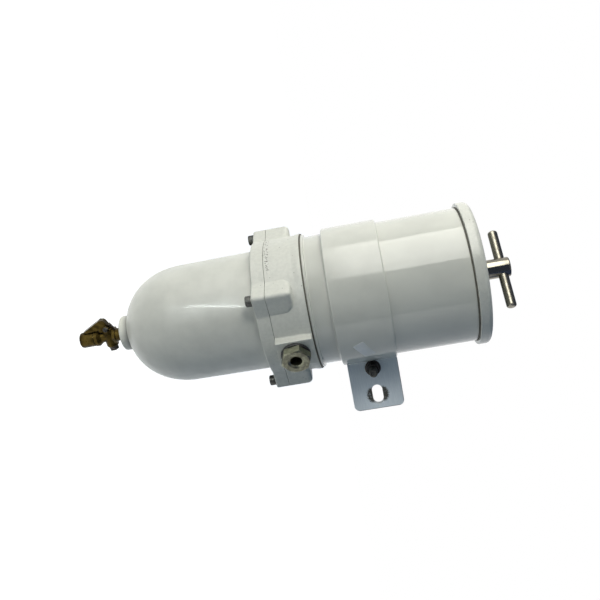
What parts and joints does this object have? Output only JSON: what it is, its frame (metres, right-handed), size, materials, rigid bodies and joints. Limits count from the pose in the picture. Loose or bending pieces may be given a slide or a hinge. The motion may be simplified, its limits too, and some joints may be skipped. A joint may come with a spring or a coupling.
{
  "type": "fuel water separator",
  "caption": "All-metal fuel filter and water separator with a domed bowl, side ports, a lever drain cock, a clamp bracket and a screw-down lid with a T-handle.",
  "frame": {"origin": "on the common axis of bowl, casting and tube, at the open end of the drain cock's spout", "axes": "+Z along the axis from the drain outlet up to the T-handle; +Y towards the bracket ear; +X is the normal of the ear's seen face"},
  "size_m": [0.155, 0.194, 0.4304],
  "materials": {
    "white_paint": "gloss enamel",
    "brass": "dull turned brass",
    "plain_steel": "plain",
    "dark_steel": "blackened",
    "yellow_zinc": "yellow passivated zinc",
    "chrome": "bright",
    "rubber": "matt",
    "aluminium": "turned",
    "ball_steel": "ground",
    "paper": "matt filter paper",
    "end_cap": "moulded",
    "moulded_plastic": "moulded",
    "label": "blank film label"
  },
  "bodies": {
    "housing": {"bowl": "white_paint", "bowl_ring": "white_paint", "body_casting": "white_paint", "body_tube": "white_paint", "clamp_strap": "white_paint", "drain_body": "brass", "drain_stop_screw": "dark_steel", "bowl_screws": "dark_steel", "clamp_bolt": "dark_steel", "clamp_nut": "dark_steel", "inlet_adapter": "yellow_zinc", "outlet_adapter": "yellow_zinc", "bowl_gasket": "rubber", "tube_gasket": "rubber", "inlet_seal": "rubber", "outlet_seal": "rubber", "element_grommets": "rubber", "return_tube": "aluminium", "ball_cage": "aluminium", "element_media": "paper", "element_top_cap": "end_cap", "element_bottom_cap": "end_cap", "turbine": "moulded_plastic", "cone_baffle": "moulded_plastic", "blank_label": "label"},
    "lid": {"lid": "white_paint", "lid_gasket": "rubber"},
    "handle": {"handle_hub": "chrome", "handle_bar": "chrome", "handle_seal": "rubber"},
    "drain_lever": {"drain_plug": "brass", "drain_lever": "brass", "drain_tail_washer": "plain_steel", "drain_tail_nut": "plain_steel"},
    "check_ball": {"check_ball": "ball_steel"}
  },
  "joints": [
    {"name": "lid_lift", "type": "slide", "parent": "housing", "child": "lid", "axis": [0, 0, 1], "range_m": [0, 0.014]},
    {"name": "handle_turn", "type": "hinge", "parent": "lid", "child": "handle", "pos_m": [0, 0, 0.423], "axis": [0, 0, 1], "range_deg": [0, 2880]},
    {"name": "drain_lever_turn", "type": "hinge", "parent": "housing", "child": "drain_lever", "pos_m": [0, 0, 0.0303], "axis": [-0.2588, 0.9659, 0], "range_deg": [0, 90]},
    {"name": "check_ball_lift", "type": "slide", "parent": "housing", "child": "check_ball", "axis": [0, 0, 1], "range_m": [0, 0.003]}
  ],
  "couplings": [
    {"joint": "handle_turn", "follows": "lid_lift", "rad_per_m": 3590.4}
  ]
}
